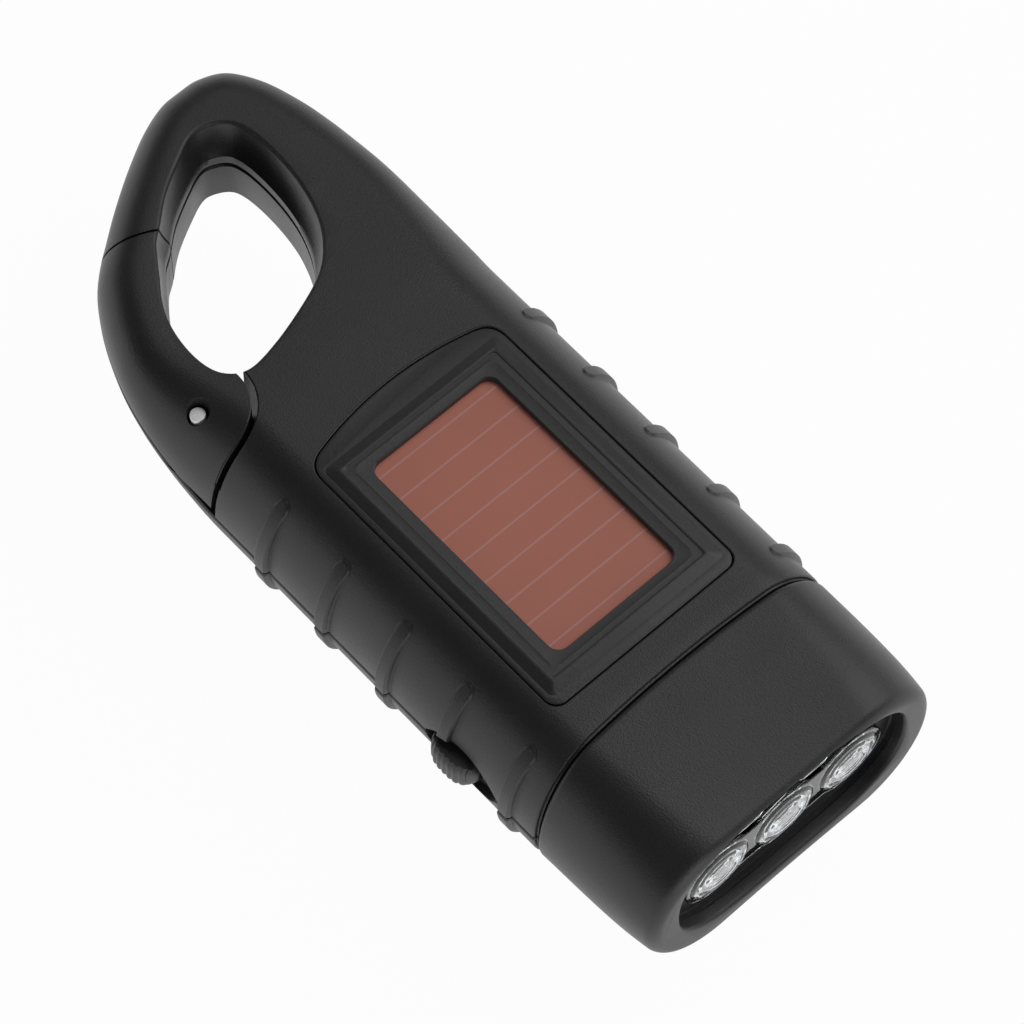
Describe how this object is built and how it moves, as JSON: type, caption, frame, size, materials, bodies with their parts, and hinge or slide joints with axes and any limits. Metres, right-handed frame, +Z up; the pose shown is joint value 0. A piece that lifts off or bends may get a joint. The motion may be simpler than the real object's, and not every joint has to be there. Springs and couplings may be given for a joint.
{
  "type": "hand crank flashlight",
  "caption": "Pocket flashlight with a carabiner hook, a solar cell on top, a folding hand crank underneath, and a light strip of chrome cups in its head.",
  "frame": {"origin": "middle of the length and of the body width, on the underside of the folded crank arm", "axes": "+X along the body to the lens, +Z up to the solar cell, -Y the side with the gate pivot and the switch"},
  "size_m": [0.136, 0.0548, 0.0365],
  "materials": {
    "shell_plastic": "satin black, fine texture",
    "trim_plastic": "satin black",
    "solar_film": "thin-film cell under a clear coat",
    "reflector_chrome": "vacuum plated",
    "clear_plastic": "clear polycarbonate",
    "led_epoxy": "clear epoxy",
    "steel": "zinc plated",
    "black_steel": "blackened",
    "board": "green solder mask",
    "battery_wrap": "shrink wrap",
    "component_black": "moulded",
    "ferrite": "sintered",
    "gear_plastic": "natural acetal",
    "bronze": "sintered bronze",
    "copper": "enamelled copper",
    "core_steel": "laminated",
    "lead_red": "PVC jacket",
    "lead_black": "PVC jacket",
    "lead_yellow": "PVC jacket"
  },
  "bodies": {
    "body": {"upper_shell": "shell_plastic", "lower_shell": "shell_plastic", "head_shell": "shell_plastic", "solar_bezel": "shell_plastic", "solar_cell": "solar_film", "reflector": "reflector_chrome", "front_lens": "clear_plastic", "led_1": "led_epoxy", "led_2": "led_epoxy", "led_3": "led_epoxy", "gate_pin": "steel", "gate_spring": "steel", "idler_shaft": "steel", "slide_switch": "steel", "led_board_screw_1": "steel", "led_board_screw_2": "steel", "board_screw_1": "steel", "board_screw_2": "steel", "board_screw_3": "steel", "board_screw_4": "steel", "gear_plate_screw_1": "steel", "gear_plate_screw_2": "steel", "gear_plate_screw_3": "steel", "shell_screw_1": "black_steel", "shell_screw_2": "black_steel", "shell_screw_3": "black_steel", "shell_screw_4": "black_steel", "led_board": "board", "main_board": "board", "battery_pack": "battery_wrap", "board_capacitor": "component_black", "board_chip": "component_black", "bridge_rectifier": "component_black", "board_inductor": "ferrite", "gear_plate": "gear_plastic", "crank_bushing": "bronze", "stator_winding": "copper", "stator_core": "core_steel", "solar_lead": "lead_red", "led_lead": "lead_red", "battery_lead": "lead_black", "generator_lead": "lead_yellow"},
    "crank": {"crank_arm": "shell_plastic", "crank_gear": "gear_plastic", "crank_screw": "steel", "knob_hinge_pin": "steel"},
    "idler": {"idler_gear": "gear_plastic"},
    "rotor": {"rotor_pinion": "gear_plastic", "rotor_magnet": "core_steel"},
    "knob_frame": {"knob_post": "steel"},
    "knob": {"knob_sleeve": "trim_plastic"},
    "gate_body": {"gate": "shell_plastic"},
    "switch": {"switch_button": "trim_plastic"}
  },
  "joints": [
    {"name": "crank_spin", "type": "hinge", "parent": "body", "child": "crank", "pos_m": [0.016, 0, 0.004], "axis": [0, 0, 1], "continuous": true},
    {"name": "idler_spin", "type": "hinge", "parent": "body", "child": "idler", "pos_m": [-0.0015, 0, 0.014], "axis": [0, 0, 1], "continuous": true},
    {"name": "rotor_spin", "type": "hinge", "parent": "body", "child": "rotor", "pos_m": [-0.00966, 0.01306, 0.018], "axis": [0, 0, 1], "continuous": true},
    {"name": "knob_fold", "type": "hinge", "parent": "crank", "child": "knob_frame", "pos_m": [-0.0242, 0, 0.004], "axis": [0, 1, 0], "range_deg": [0, 90]},
    {"name": "knob_spin", "type": "hinge", "parent": "knob_frame", "child": "knob", "pos_m": [-0.0142, 0, 0.004], "axis": [1, 0, 0], "continuous": true},
    {"name": "gate_swing", "type": "hinge", "parent": "body", "child": "gate_body", "pos_m": [-0.0261, -0.0213, 0.026], "axis": [0, 0, 1], "range_deg": [-28, 0], "stiffness_Nm_per_rad": 0.02, "springref_deg": 20.05},
    {"name": "switch_slide", "type": "slide", "parent": "body", "child": "switch", "axis": [1, 0, 0], "range_m": [0, 0.0028]}
  ],
  "couplings": [
    {"joint": "idler_spin", "follows": "crank_spin", "ratio": -4},
    {"joint": "rotor_spin", "follows": "crank_spin", "ratio": 13.6}
  ]
}
